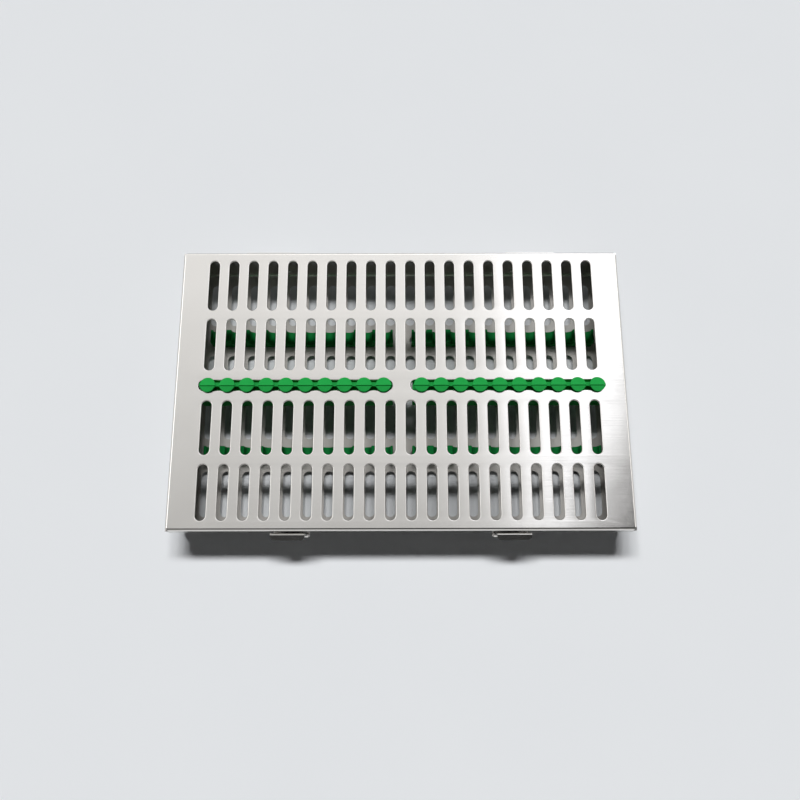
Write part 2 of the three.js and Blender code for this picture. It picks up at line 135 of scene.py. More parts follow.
NOTCH_STEPS = 12
SILICONE_ROUND = 0.6 * MM
SEAT = 0.3 * MM

# Hinges, latches and rivets. PIN_DOME is the dome's share of a pin's cap.
LEAF = 0.9 * MM
PLATE = 0.8 * MM
KNUCKLE = 2.2 * MM
RUN = 0.4 * MM
MIDDLE_SHARE = 0.4
CURL_GAP = math.radians(28)
CURL_STEPS = 24
ROLL_TRIM = 0.01 * MM
LEAST_MITRE = 0.5
LIP_REACH = 3.9 * MM
LIP_BEND = 0.7 * MM
LIP_DROOP = math.pi / 9
LIP_CORNER = 2.8 * MM
LIP_DROP = 5.7 * MM
LIP_STEPS = 8
BEAD_LENGTH = 9 * MM
BEAD_HEIGHT = 2.6 * MM
BEAD_PROUD = 0.6 * MM
BEAD_RISE = 3.3 * MM
BEAD_COLUMNS = 12
BEAD_ROWS = 10
WINDOW_GAP = 0.5 * MM
PIN_RADIUS = 1 * MM
PIN_HEAD = 1.7 * MM
PIN_CAP = 0.7 * MM
PIN_DOME = 0.6
RIVET_SHANK = 1.1 * MM
RIVET_TAIL = 1.8 * MM
RIVET_TAIL_RISE = 0.5 * MM
RIVET_HEAD = 2.1 * MM
RIVET_HEAD_SEAT = 0.7 * MM
RIVET_HEAD_EDGE = 0.1 * MM
RIVET_HEAD_RISE = 0.6 * MM

# Meshes
MERGE = MM / 10000
PLACE_DIGITS = 4
COLUMN_DIGITS = 7
SHARP = math.radians(38)
BEVEL_SEGMENTS = 3
SLOT_STEPS = 16
RIM_STEPS = 4
BEND_STEPS = 8
BORDER_STEPS = 12
ROUND_STEPS = 48
DOME_STEPS = 8

lid_low, lid_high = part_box("lid_panel")
tray_low, tray_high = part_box("base_tray")
joint_places = {joint["name"]: Vector(joint["pos_m"]) for joint in frame["joints"]}


def material_of(look):
    return bpy.data.materials[look + "_look"]


def link(name, data):
    made = bpy.data.objects.new(name, data)
    bpy.context.scene.collection.objects.link(made)
    return made


def finish_piece(name, mesh, node, slot, bevel=0, look=None):
    """Shades a mesh, and lets it stand for a node of the frame on that node's body.

    The look is the slot's own, unless look names another.
    """
    for face in mesh.polygons:
        face.use_smooth = True
    mesh.set_sharp_from_angle(angle=SHARP)
    mesh.materials.append(material_of(look or slot))
    piece = link(name, mesh)
    if bevel:
        rounding = piece.modifiers.new("rounding", "BEVEL")
        rounding.width = bevel
        rounding.segments = BEVEL_SEGMENTS
        rounding.limit_method = "ANGLE"
        rounding.angle_limit = SHARP
        rounding.use_clamp_overlap = True
    normals = piece.modifiers.new("normals", "WEIGHTED_NORMAL")
    normals.keep_sharp = not bevel
    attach(piece, frame["nodes"][node]["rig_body"])
    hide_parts(node)


def mesh_of(name, points, faces, move=Matrix.Identity(4)):
    """A mesh with merged points and faces that all look out."""
    mesh = bpy.data.meshes.new(name)
    mesh.from_pydata([move @ Vector(p) for p in points], [], faces)
    work = bmesh.new()
    work.from_mesh(mesh)
    bmesh.ops.remove_doubles(work, verts=work.verts, dist=MERGE)
    bmesh.ops.recalc_face_normals(work, faces=work.faces)
    work.to_mesh(mesh)
    work.free()
    return mesh


class Sheet:
    """A bent sheet: outer points, the inner points that back them, and the faces between."""

    def __init__(self):
        self.places = {}
        self.outer = []
        self.inner = []
        self.faces = []
        self.extra_points = []
        self.extra_faces = []
        self.closed_edges = set()

    def point(self, outer, inner):
        """The number of a pair of points; pairs at the same place share it."""
        key = tuple(round(c / MM, PLACE_DIGITS) for c in outer)
        if key not in self.places:
            self.places[key] = len(self.outer)
            self.outer.append(Vector(outer))
            self.inner.append(Vector(inner))
        return self.places[key]

    def grid(self, columns, rows, place, present):
        """The faces that are present; place gives each crossing's outer and inner point."""
        for i in range(columns - 1):
            for j in range(rows - 1):
                if present(i, j):
                    corners = [(i, j), (i + 1, j), (i + 1, j + 1), (i, j + 1)]
                    self.faces.append([self.point(*place(a, b)) for a, b in corners])

    def plate(self, outline, holes):
        """A flat stretch: the outline's and the holes' pairs of outer and inner points."""
        loops = [outline, *holes]
        indices = [self.point(*pair) for loop in loops for pair in loop]
        flat = [[Vector((p[0], p[1], 0)) for p, inner in loop] for loop in loops]
        for triangle in tessellate_polygon(flat):
            self.faces.append([indices[k] for k in triangle])

    def punch(self, rings):
        """Closes a hole's edge with rings of points, whose first and last are the sheet's own."""
        outer_ring = [self.point(p, p) for p in rings[0]]
        count = len(outer_ring)
        base = len(self.extra_points)
        for ring in rings[1:-1]:
            self.extra_points += ring
        last = len(rings) - 1

        def index(ring, k):
            k %= count
            if ring == 0:
                return ("outer", outer_ring[k])
            if ring == last:
                return ("inner", outer_ring[k])
            return ("extra", base + (ring - 1) * count + k)

        for ring in range(last):
            for k in range(count):
                corners = [(ring, k), (ring, k + 1), (ring + 1, k + 1), (ring + 1, k)]
                self.extra_faces.append([index(*corner) for corner in corners])
        for k in range(count):
            self.closed_edges.add(frozenset((outer_ring[k], outer_ring[(k + 1) % count])))

    def mesh(self, name):
        """Both faces of the sheet, its open edges closed between them, and the punched walls."""
        count = len(self.outer)
        start = {"outer": 0, "inner": count, "extra": 2 * count}
        faces = [list(face) for face in self.faces]
        faces += [[k + count for k in reversed(face)] for face in self.faces]
        uses = {}
        for face in self.faces:
            for a, b in zip(face, face[1:] + face[:1]):
                uses.setdefault(frozenset((a, b)), []).append((a, b))
        for edge, found in uses.items():
            if len(found) == 1 and edge not in self.closed_edges:
                a, b = found[0]
                faces.append([b, a, a + count, b + count])
        faces += [[start[part] + k for part, k in face] for face in self.extra_faces]
        return mesh_of(name, self.outer + self.inner + self.extra_points, faces)


def arc_points(x, y, radius, start, end, steps):
    turn = (end - start) / steps
    return [
        (x + radius * math.cos(start + turn * i), y + radius * math.sin(start + turn * i))
        for i in range(steps + 1)
    ]


def slot_outline(x, y, width, depth):
    """Points of a slot with round ends, each with its direction into the sheet."""
    radius = min(width, depth) / 2
    run_x = width / 2 - radius
    run_y = depth / 2 - radius
    start = -math.pi / 2 if width > depth else 0
    outline = []
    for hand in (1, -1):
        for i in range(SLOT_STEPS + 1):
            angle = start + math.pi * i / SLOT_STEPS + (0 if hand > 0 else math.pi)
            way = Vector((math.cos(angle), math.sin(angle)))
            outline.append((Vector((x + hand * run_x, y + hand * run_y)) + way * radius, way))
    return outline


def slot_rings(outline, outer_z, inner_z):
    """Rings round a punched slot: a rolled rim outside, a straight wall and a small rim inside."""
    side = math.copysign(1, outer_z - inner_z)
    rings = []
    for rim, z, way in ((PUNCHED_RIM, outer_z, -side), (BACK_RIM, inner_z, side)):
        part = []
        for i in range(RIM_STEPS + 1):
            angle = math.pi / 2 * i / RIM_STEPS
            out = rim * (1 - math.sin(angle))
            down = way * rim * (1 - math.cos(angle))
            part.append([Vector((*(p + n * out), z + down)) for p, n in outline])
        rings += part if way == -side else part[::-1]
    return rings


def centred(count, pitch):
    return [(i - (count - 1) / 2) * pitch for i in range(count)]


def columns_in(span, pitch):
    """Places of an even number of columns in a span."""
    return centred(2 * int(span / pitch / 2), pitch)


def strip_slots(width, y):
    """The two slots that a pair of strips snaps through, as x, y, width and depth."""
    length = width / 2 - STRIP_END_MARGIN - BRIDGE / 2
    places = [hand * (BRIDGE + length) / 2 + STRIP_SLOT_SHIFT for hand in (-1, 1)]
    return [(x, y, length, STRIP_SLOT_WIDTH) for x in places]


def lid_slots(width, depth):
    row = (depth / 2 - LID_END_MARGIN - LID_BAND / 2 - LID_ROW_WEB) / 2
    rows = [LID_BAND / 2 + row / 2, LID_BAND / 2 + row + LID_ROW_WEB + row / 2]
    places = columns_in(width - 2 * LID_SIDE_MARGIN, LID_SLOT_PITCH)
    slots = [(x, hand * y, SLOT_WIDTH, row) for x in places for y in rows for hand in (-1, 1)]
    return slots + strip_slots(width, 0)


def tray_slots(width, depth, case_width):
    short = depth / 2 - TRAY_END_MARGIN - TRAY_MIDDLE_SLOT / 2 - TRAY_BAND
    short_y = depth / 2 - TRAY_END_MARGIN - short / 2
    slots = []
    for x in columns_in(width - 2 * TRAY_SIDE_MARGIN, TRAY_SLOT_PITCH):
        slots.append((x, 0, SLOT_WIDTH, TRAY_MIDDLE_SLOT))
        slots += [(x, hand * short_y, SLOT_WIDTH, short) for hand in (-1, 1)]
    strip_y = (TRAY_MIDDLE_SLOT + TRAY_BAND) / 2
    return slots + strip_slots(case_width, strip_y) + strip_slots(case_width, -strip_y)


def wall_section(half, closed, opened, bend, levels):
    """Pairs of outer and inner points, outward distance and height, from the plate to the edge."""
    side = math.copysign(1, closed - opened)
    section = []
    for i in range(BEND_STEPS + 1):
        angle = math.pi / 2 * i / BEND_STEPS
        out, down = math.sin(angle), math.cos(angle)
        pair = [
            (half - bend + radius * out, closed - side * (bend - radius * down))
            for radius in (bend, bend - SHEET)
        ]
        section.append(pair)
    straight = sorted({*levels, opened + side * EDGE_ROUND}, reverse=side > 0)
    section += [[(half, z), (half - SHEET, z)] for z in straight]
    section.append([(half - EDGE_ROUND, opened), (half - SHEET + EDGE_ROUND, opened)])
    return section


def folded_pan(width, depth, closed, opened, bend, slots, windows=()):
    """A plate with its four walls folded.

    Windows in the front wall are (left, right, low, high).
    """
    side = math.copysign(1, closed - opened)
    relief = bend + RELIEF_MARGIN
    nick = closed - side * relief
    sheet = Sheet()
    borders = {}
    levels = {nick, *(z for window in windows for z in window[2:])}
    for turn in range(4):
        front = turn % 2 == 0
        half_out = (depth if front else width) / 2
        half_along = (width if front else depth) / 2
        end = half_along - SHEET - SEAM if front else half_along
        cuts = [x for w in windows for x in w[:2]] if turn == 0 else []
        even = [half_along * k / BORDER_STEPS for k in range(1 - BORDER_STEPS, BORDER_STEPS)]
        along = sorted({-end, end, relief - half_along, half_along - relief, *cuts, *even})
        section = wall_section(half_out, closed, opened, bend, levels if turn == 0 else {nick})
        spin = Matrix.Rotation(turn * math.pi / 2, 3, "Z")

        def place(i, j, along=along, section=section, spin=spin):
            return [spin @ Vector((along[i], -out, z)) for out, z in section[j]]

        def present(i, j, along=along, section=section, front=turn == 0):
            x = (along[i] + along[i + 1]) / 2
            z = (section[j][0][1] + section[j + 1][0][1]) / 2
            if i in (0, len(along) - 2) and side * (z - nick) > 0:
                return False
            in_window = any(w[0] < x < w[1] and w[2] < z < w[3] for w in windows)
            return not (front and in_window)

        sheet.grid(len(along), len(section), place, present)
        borders[turn] = [place(i, 0) for i in range(1, len(along) - 1)]
    outline = []
    inner_closed = closed - side * SHEET
    for turn in range(4):
        outline += borders[turn]
        spin = Matrix.Rotation(turn * math.pi / 2, 3, "Z")
        half_x, half_y = (width / 2, depth / 2) if turn % 2 == 0 else (depth / 2, width / 2)
        heights = (closed, inner_closed)
        outline.append([spin @ Vector((half_x - relief, relief - half_y, z)) for z in heights])
    punched = [slot_rings(slot_outline(*slot), closed, inner_closed) for slot in slots]
    sheet.plate(outline, [list(zip(rings[0], rings[-1])) for rings in punched])
    for rings in punched:
        sheet.punch(rings)
    return sheet


def build_lid():
    width, depth = lid_high.x - lid_low.x, -2 * lid_low.y
    closed, opened = lid_high.z, lid_low.z
    bead = opened + BEAD_RISE
    half_x = BEAD_LENGTH / 2 + WINDOW_GAP
    half_z = BEAD_HEIGHT / 2 + WINDOW_GAP
    latches = [joint_places[f"latch_{side}_pivot"].x for side in ("left", "right")]
    windows = [(x - half_x, x + half_x, bead - half_z, bead + half_z) for x in latches]
    sheet = folded_pan(width, depth, closed, opened, LID_BEND, lid_slots(width, depth), windows)
    finish_piece("lid_sheet", sheet.mesh("lid_sheet"), "lid_panel", "steel", look="lid_steel")


def build_tray():
    width, depth = tray_high.x - tray_low.x, tray_high.y - tray_low.y
    case_width = lid_high.x - lid_low.x
    slots = tray_slots(width, depth, case_width)
    sheet = folded_pan(width, depth, tray_low.z, tray_high.z, TRAY_BEND, slots)
    finish_piece("tray_sheet", sheet.mesh("tray_sheet"), "base_tray", "steel", look="tray_steel")


# Silicone strips, built with the sheet's outer face at zero and the heads above it
class Shells:
    """Several closed shells that make one piece."""

    def __init__(self):
        self.points = []
        self.faces = []

    def add(self, points, faces):
        base = len(self.points)
        self.points += points
        self.faces += [[base + k for k in face] for face in faces]

    def field(self, xs, bounds, height, low, rows, centre=0, neck=1):
        """A closed body with a top of given height(x, y), between bounds(x) in Y, down to low.

        Its foot is neck times as wide as its top, about a centre in X.
        """
        points, faces = [], []
        spread = [(1 - math.cos(math.pi * j / rows)) / 2 for j in range(rows + 1)]
        for x in xs:
            front, back = bounds(x)
            ys = [front + (back - front) * v for v in spread]
            points += [Vector((x, y, height(x, y))) for y in ys]
            points += [Vector((centre + (x - centre) * neck, y * neck, low)) for y in ys]
        ring = 2 * (rows + 1)
        for i in range(len(xs) - 1):
            a, b = i * ring, (i + 1) * ring
            for j in range(rows):
                faces.append([a + j, b + j, b + j + 1, a + j + 1])
                under = rows + 1 + j
                faces.append([a + under + 1, b + under + 1, b + under, a + under])
            faces.append([a, a + rows + 1, b + rows + 1, b])
            faces.append([b + rows, b + ring - 1, a + ring - 1, a + rows])
        for a in (0, (len(xs) - 1) * ring):
            top = [a + j for j in range(rows + 1)]
            under = [a + rows + 1 + j for j in range(rows + 1)]
            faces.append(top + under[::-1])
        self.add(points, faces)


def head_height(x, y):
    """A head's crown: two slopes from the parting line to a rounded rim."""
    crown = HEAD_HEIGHT - HEAD_FALL * abs(y - PARTING_SHIFT) / HEAD_RADIUS
    edge = HEAD_RADIUS - math.hypot(x, y)
    if edge < HEAD_ROUND:
        inset = HEAD_ROUND - max(edge, 0)
        crown -= HEAD_ROUND - math.sqrt(max(HEAD_ROUND**2 - inset**2, 0))
    return crown


def head_touch(hand):
    """Where the pointed tip's edge leaves the head's circle, behind (1) or in front (-1)."""
    tip = Vector((HEAD_TIP, PARTING_SHIFT))
    turn = math.atan2(tip.y, tip.x) + hand * math.acos(HEAD_RADIUS / tip.length)
    return HEAD_RADIUS * Vector((math.cos(turn), math.sin(turn)))


def head_edge(x, hand):
    """Y of a head's outline: a circle with a pointed tip at both ends of the parting line."""
    touch = head_touch(hand)
    x = abs(x)
    if x > touch.x:
        share = min((x - touch.x) / (HEAD_TIP - touch.x), 1)
        edge = touch.y + (PARTING_SHIFT - touch.y) * share
        return hand * max(hand * edge, hand * PARTING_SHIFT + EDGE_ROUND / 2)
    return hand * math.sqrt(HEAD_RADIUS**2 - x**2)


def head_reach(hand):
    """How far out in X a head's back or front half runs before it gets too thin."""
    touch = head_touch(hand)
    thin = PARTING_WIDTH / 2 + EDGE_ROUND
    return HEAD_TIP - (HEAD_TIP - touch.x) * thin / abs(touch.y - PARTING_SHIFT)


def add_head(shells, place):
    """One head: a back and a front half with the parting groove's floor between them."""
    low, high = PARTING_SHIFT - PARTING_WIDTH / 2, PARTING_SHIFT + PARTING_WIDTH / 2

    def groove(x):
        return max(low, head_edge(x, -1)), min(high, head_edge(x, 1))

    parts = (
        (head_reach(1), lambda x: (high, head_edge(x, 1)), 0, HEAD_ROWS),
        (head_reach(-1), lambda x: (head_edge(x, -1), low), 0, HEAD_ROWS),
        (HEAD_TIP, groove, PARTING_DEPTH, 1),
    )
    for reach, bounds, sunk, rows in parts:
        xs = [place - reach * math.cos(math.pi * i / HEAD_STEPS) for i in range(HEAD_STEPS + 1)]
        shells.field(
            xs,
            lambda x, bounds=bounds: bounds(x - place),
            lambda x, y, sunk=sunk: head_height(x - place, y) - sunk,
            HEAD_FOOT,
            rows,
            centre=place,
            neck=HEAD_NECK,
        )


def web_half(x, end):
    """Half the rail's width: a waist between heads, a shoulder at each and a point at the ends."""
    phase = (x / HEAD_PITCH - (HEAD_COUNT % 2 - 1) / 2) * 2 * math.pi
    share = (1 + math.cos(phase)) / 2
    width = WEB_WAIST + (WEB_SHOULDER - WEB_WAIST) * share**2
    return max(min(width / 2, end - abs(x)), EDGE_ROUND)


def add_web(shells, end, low):
    """The rail in the slot, which shows between the heads."""
    count = WEB_COLUMNS * HEAD_COUNT
    xs = [end * (2 * i / count - 1) for i in range(count + 1)]

    def height(x, y):
        half = web_half(x, end)
        flare = WEB_FLARE * (half / (WEB_SHOULDER / 2)) ** 3
        return WEB_CREST + flare + WEB_TILT * (y - WEB_SHIFT) / half

    def bounds(x):
        half = web_half(x, end)
        return WEB_SHIFT - half, WEB_SHIFT + half

    shells.field(xs, bounds, height, low, WEB_ROWS)


def section_prism(profile, left, right):
    """A closed outline in Y and Z, extruded to the right."""
    count = len(profile)
    points = [Vector((x, y, z)) for x in (left, right) for y, z in profile]
    faces = [list(range(count)), list(range(2 * count - 1, count - 1, -1))]
    faces += [[k, (k + 1) % count, count + (k + 1) % count, count + k] for k in range(count)]
    return points, faces


def plan_prism(profile, front, back):
    """A closed outline in X and Z, extruded backwards."""
    points, faces = section_prism(profile, front, back)
    return [Vector((p.y, p.x, p.z)) for p in points], faces


def pad_profile():
    """The lid's pad from the side: two legs with round feet and a channel for the rail on top."""
    half, foot, top = PAD_WIDTH / 2, -SHEET - PAD_DEPTH, -SHEET
    inside, roof = half - PAD_LEG, -SHEET - SEAT - PAD_FLANGE
    tip = PAD_LEG / 2
    right = arc_points(half - tip, foot + tip, tip, -math.pi, 0, PAD_STEPS)
    left = arc_points(tip - half, foot + tip, tip, -math.pi, 0, PAD_STEPS)
    channel, bed = STRIP_SLOT_WIDTH / 2, top - PAD_CHANNEL
    upper = [(half, top), (channel, top), (channel, bed)]
    upper += [(-y, z) for y, z in reversed(upper)]
    return [*right, *upper, *left, (-inside, roof), (inside, roof)]


def comb_profile(half):
    """The tray's comb from the front, with a round notch over each head."""
    tip = -SHEET - COMB_HEIGHT
    arch = tip + NOTCH_DEPTH - NOTCH_RADIUS
    outline = [(half, -SHEET), (-half, -SHEET), (-half, tip)]
    for x in centred(HEAD_COUNT, HEAD_PITCH):
        outline.append((x - NOTCH_RADIUS, tip))
        outline += arc_points(x, arch, NOTCH_RADIUS, math.pi, 0, NOTCH_STEPS)
        outline.append((x + NOTCH_RADIUS, tip))
    return outline + [(half, tip)]


def build_strip(node, outward):
    """A strip with its heads outward: 1 is up, through the lid, and -1 down, through the floor."""
    low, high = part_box(node)
    middle = (low + high) / 2
    half = (high.x - low.x) / 2
    face = lid_high.z if outward > 0 else tray_low.z
    slots = strip_slots(lid_high.x - lid_low.x, middle.y)
    shift = min(abs(middle.x - slot[0]) for slot in slots)
    rail_half = half - shift - SEAT
    shells = Shells()
    for place in centred(HEAD_COUNT, HEAD_PITCH):
        add_head(shells, place)
    add_web(shells, rail_half, -SHEET - (PAD_CHANNEL if outward > 0 else SEAT))
    if outward > 0:
        body = section_prism(pad_profile(), -half, half)
    else:
        body = plan_prism(comb_profile(half), -COMB_WIDTH / 2, COMB_WIDTH / 2)
    turn = Matrix.Identity(4) if outward > 0 else Matrix.Rotation(math.pi, 4, "X")
    move = Matrix.Translation((middle.x, middle.y, face)) @ turn
    rail_mesh = mesh_of(node + "_rail", shells.points, shells.faces, move)
    body_mesh = mesh_of(node + "_body", *body, move)
    # the combs take a darker copy of the silicone as painted shade
    look = "silicone" if outward > 0 else "tray_silicone_shaded"
    finish_piece(node + "_rail", rail_mesh, node, "silicone", look=look)
    finish_piece(node + "_body", body_mesh, node, "silicone", bevel=SILICONE_ROUND, look=look)


# Hinges, latches and their rivets
def offset_pairs(line, thickness):
    """Pairs of points on both faces of a bent strip that follows a line in Y and Z."""
    pairs = []
    for i, here in enumerate(line):
        before = line[max(i - 1, 0)]
        after = line[min(i + 1, len(line) - 1)]
        into = (here - before).normalized() if i else (after - here).normalized()
        out = (after - here).normalized() if i < len(line) - 1 else into
        mean = (into + out).normalized()
        reach = thickness / 2 / max(mean.dot(into), LEAST_MITRE)
        side = Vector((-mean.y, mean.x))
        pairs.append((here + side * reach, here - side * reach))
    return pairs


def curl(centre, radius, start, turn):
    """Points of a strip's middle line rolled round a pin."""
    angles = [start + turn * i / CURL_STEPS for i in range(CURL_STEPS + 1)]
    return [centre + radius * Vector((math.cos(a), math.sin(a))) for a in angles]


def knuckle_spans(width):
    """The middle knuckle's span and the outer knuckles' spans."""
    half = width * MIDDLE_SHARE / 2
    return (
        [(-half, half)],
        [(-width / 2, -half - SEAT), (half + SEAT, width / 2)],
    )


def rolled_leaf(name, node, x, width, line, roll_from, spans):
    """A leaf whose line is a plate up to row roll_from, and from there only knuckles."""
    edges = sorted({-width / 2, width / 2, *(e for span in spans for e in span)})
    pairs = offset_pairs(line, LEAF)
    sheet = Sheet()

    def place(i, j):
        outer, inner = pairs[j]
        return [Vector((x + edges[i], *outer)), Vector((x + edges[i], *inner))]

    def present(i, j):
        middle = (edges[i] + edges[i + 1]) / 2
        return j < roll_from or any(a < middle < b for a, b in spans)

    sheet.grid(len(edges), len(line), place, present)
    finish_piece(name, sheet.mesh(name), node, "steel", bevel=EDGE_ROUND)


def build_hinge(name):
    """The lid's leaf and, below it, the tray's cranked leaf."""
    node = "hinge_lid_leaf_" + name
    low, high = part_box(node)
    x = (low.x + high.x) / 2
    width = high.x - low.x
    axis = Vector(joint_places["lid_hinge"].yz)
    roll = KNUCKLE - LEAF / 2 - ROLL_TRIM
    middle, outer = knuckle_spans(width)
    wall = lid_high.y + SEAT + LEAF / 2
    plate = [Vector((wall, high.z)), Vector((wall, axis.y + KNUCKLE + RUN))]
    rolled = curl(axis, roll, math.pi, 2 * math.pi - CURL_GAP)
    rolled_leaf("hinge_leaf_lid_" + name, node, x, width, plate + rolled, 1, middle)

    node = "hinge_base_leaf_" + name
    low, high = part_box(node)
    tray_wall = tray_high.y + SEAT + LEAF / 2
    crank_high = axis.y - KNUCKLE - RUN
    plate = [
        Vector((tray_wall, low.z)),
        Vector((tray_wall, crank_high - (wall - tray_wall))),
        Vector((wall, crank_high)),
    ]
    rolled = curl(axis, roll, math.pi, CURL_GAP - 2 * math.pi)
    rolled_leaf("hinge_leaf_base_" + name, node, x, width, plate + rolled, 2, outer)


def latch_line(pivot, plate_y):
    """The rolled knuckle and the lip's bend, as parts of the latch's middle line in Y and Z."""
    roll = KNUCKLE - PLATE / 2 - ROLL_TRIM
    rolled = curl(pivot, roll, math.pi + 2 * math.pi - CURL_GAP, CURL_GAP - 2 * math.pi)
    bend_z = lid_high.z - LIP_DROP
    turn = math.pi / 2 + LIP_DROOP
    bend = arc_points(plate_y - LIP_BEND, bend_z, LIP_BEND, 0, turn, BEND_STEPS)
    return rolled, [Vector(p) for p in bend]


def bead_push(x, z, bead_z):
    """How far the pressed bead stands out of the plate at a place."""
    run = max(abs(x) - (BEAD_LENGTH - BEAD_HEIGHT) / 2, 0)
    away = math.hypot(run, z - bead_z) / (BEAD_HEIGHT / 2)
    return BEAD_PROUD * (1 + math.cos(math.pi * min(away, 1))) / 2


def build_latch(name):
    """The latch's plate with its knuckle, bead and lip, and the bracket on the tray."""
    node = "latch_" + name
    low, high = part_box(node)
    x = (low.x + high.x) / 2
    width = high.x - low.x
    half = width / 2
    pivot = Vector(joint_places[node + "_pivot"].yz)
    bead_z = lid_low.z + BEAD_RISE
    plate_y = low.y + LIP_REACH
    rolled, bend = latch_line(pivot, plate_y)
    first = pivot.y + KNUCKLE + RUN
    fine = [bead_z + BEAD_HEIGHT / 2 * (2 * k / BEAD_ROWS - 1) for k in range(BEAD_ROWS + 1)]
    plate = [Vector((plate_y, z)) for z in (first, *fine)]
    plate_rows = range(len(rolled), len(rolled) + len(plate))
    last = bend[-1]
    way = Vector((-math.cos(LIP_DROOP), -math.sin(LIP_DROOP)))
    lip_length = (last.x - low.y - PLATE / 2 * math.sin(LIP_DROOP)) / math.cos(LIP_DROOP)
    lip = [last + way * (lip_length - LIP_CORNER), last + way * lip_length]
    line = rolled + plate + bend + lip
    middle, outer = knuckle_spans(width)
    left, right = middle[0]
    turns = [math.pi / 2 * k / LIP_STEPS for k in range(LIP_STEPS + 1)]
    corner = [half - LIP_CORNER * (1 - math.sin(a)) for a in turns]
    bead_xs = [BEAD_LENGTH / 2 * k / BEAD_COLUMNS for k in range(BEAD_COLUMNS + 1)]
    sides = {round(v, COLUMN_DIGITS) for v in (*corner, *bead_xs, right, half)}
    edges = sorted({*sides, *(-v for v in sides)})
    pairs = offset_pairs(line, PLATE)
    sheet = Sheet()

    def place(i, j):
        along = edges[i]
        over = abs(along) - (half - LIP_CORNER)
        shift = Vector((0, 0))
        if j in plate_rows:
            shift = Vector((bead_push(along, line[j].y, bead_z), 0))
        elif j == len(line) - 1 and over > 0:
            shift = -way * (LIP_CORNER - math.sqrt(max(LIP_CORNER**2 - over**2, 0)))
        return [Vector((x + along, *(side + shift))) for side in pairs[j]]

    def present(i, j):
        return j >= plate_rows[0] or left < (edges[i] + edges[i + 1]) / 2 < right

    sheet.grid(len(edges), len(line), place, present)
    finish_piece("latch_plate_" + name, sheet.mesh("latch_plate_" + name), node, "steel")

    node = "latch_bracket_" + name
    low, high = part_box(node)
    wall = tray_low.y - SEAT - LEAF / 2
    plate = [Vector((wall, high.z)), Vector((wall, pivot.y + KNUCKLE + RUN))]
    rolled = curl(pivot, KNUCKLE - LEAF / 2 - ROLL_TRIM, 0, CURL_GAP - 2 * math.pi)
    rolled_leaf("latch_foot_" + name, node, x, width, plate + rolled, 1, outer)


def lathe(name, node, profile, centre, axis):
    """A turned piece: radius and height pairs, from axis to axis, along axis from centre."""
    points, faces = [], []
    for radius, height in profile:
        for k in range(ROUND_STEPS):
            angle = 2 * math.pi * k / ROUND_STEPS
            points.append(Vector((radius * math.cos(angle), radius * math.sin(angle), height)))
    for ring in range(len(profile) - 1):
        a, b = ring * ROUND_STEPS, (ring + 1) * ROUND_STEPS
        for k in range(ROUND_STEPS):
            after = (k + 1) % ROUND_STEPS
            faces.append([a + k, a + after, b + after, b + k])
    turn = Vector(axis).to_track_quat("Z", "Y").to_matrix().to_4x4()
    move = Matrix.Translation(centre) @ turn
    finish_piece(name, mesh_of(name, points, faces, move), node, "pin_steel")


def dome(radius, low, rise):
    """The outline of a low dome from its rim to its crown."""
    angles = [math.pi / 2 * k / DOME_STEPS for k in range(DOME_STEPS + 1)]
    return [(radius * math.cos(a), low + rise * math.sin(a)) for a in angles]


def build_pin(node):
    """A pin with the same domed head at both ends."""
    low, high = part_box(node)
    half = (high.x - low.x) / 2
    rise = PIN_CAP * PIN_DOME
    side = [(PIN_RADIUS, 0), (PIN_RADIUS, half - PIN_CAP), (PIN_HEAD, half - PIN_CAP)]
    profile = side + dome(PIN_HEAD, half - rise, rise)
    mirrored = [(r, -z) for r, z in reversed(profile)]
    lathe(node + "_turned", node, mirrored + profile, (low + high) / 2, (1, 0, 0))


def build_rivet(node):
    """A rivet with its head outside and its upset tail inside."""
    low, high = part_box(node)
    centre = (low + high) / 2
    outward = 1 if centre.y > 0 else -1
    half = (high.y - low.y) / 2
    seat = half - RIVET_HEAD_SEAT
    tail = dome(RIVET_TAIL, half - RIVET_TAIL_RISE, RIVET_TAIL_RISE)
    profile = [(r, -z) for r, z in reversed(tail)]
    profile += [(RIVET_SHANK, RIVET_TAIL_RISE - half), (RIVET_SHANK, seat), (RIVET_HEAD, seat)]
    profile += dome(RIVET_HEAD, seat + RIVET_HEAD_EDGE, RIVET_HEAD_RISE)
    lathe(node + "_formed", node, profile, centre, (0, outward, 0))


# Materials. Noises are (scale, detail, roughness) and bumps (strength, distance).
WHITE = (1, 1, 1, 1)
NOISE_SPAN = (0.3, 0.7)
GRAIN_STRETCH = 0.012
SIDE_FACING = 0.7
STREAKS = (2600, 3.0, 0.6)
CLOUDS = (22, 3.0, 0.55)
SMUDGES = (75, 4.0, 0.6)
WAVES = (17, 1.0, 0.4)
STEEL_TONES = ((0.72, 0.7, 0.67, 1), (0.765, 0.75, 0.725, 1))
STREAK_TONE = (0.62, 0.6, 0.57, 1)
STREAK_SHARE = 0.14
STEEL_ROUGHNESS = (0.12, 0.17)
SMUDGE_SPAN = (0.45, 0.75)
SMUDGE_ROUGHNESS = 0.05
WAVE_BUMP = (0.12, 0.004)
STREAK_BUMP = (0.08, 0.0001)
INWARD_FACING = (0.5, 0.95)
PAINTED_SHADE_SHARE = 0.9
DULL_ROUGHNESS = 0.22
